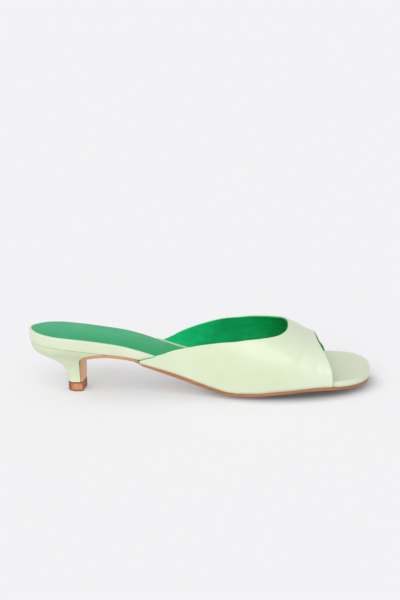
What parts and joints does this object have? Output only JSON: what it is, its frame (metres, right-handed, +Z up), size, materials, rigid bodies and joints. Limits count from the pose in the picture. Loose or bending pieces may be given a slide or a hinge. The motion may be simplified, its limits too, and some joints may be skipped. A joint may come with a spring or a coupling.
{
  "type": "kitten heel mule",
  "caption": "Backless kitten heel mule with a square open toe, a smooth vamp with low wings, a padded footbed and a slim covered heel.",
  "frame": {"origin": "on the floor, under the middle of the shoe's length and width", "axes": "+X from the heel to the toe, +Y towards the inner side of the foot, +Z up"},
  "size_m": [0.241, 0.0792, 0.0474],
  "materials": {
    "patent_leather": "gloss",
    "lining_leather": "satin",
    "sole_leather": "matte",
    "tip": "satin"
  },
  "bodies": {
    "root": {"outsole": "sole_leather", "footbed": "patent_leather", "sock": "lining_leather", "upper": "patent_leather", "heel": "patent_leather", "top_lift": "tip"}
  },
  "joints": []
}
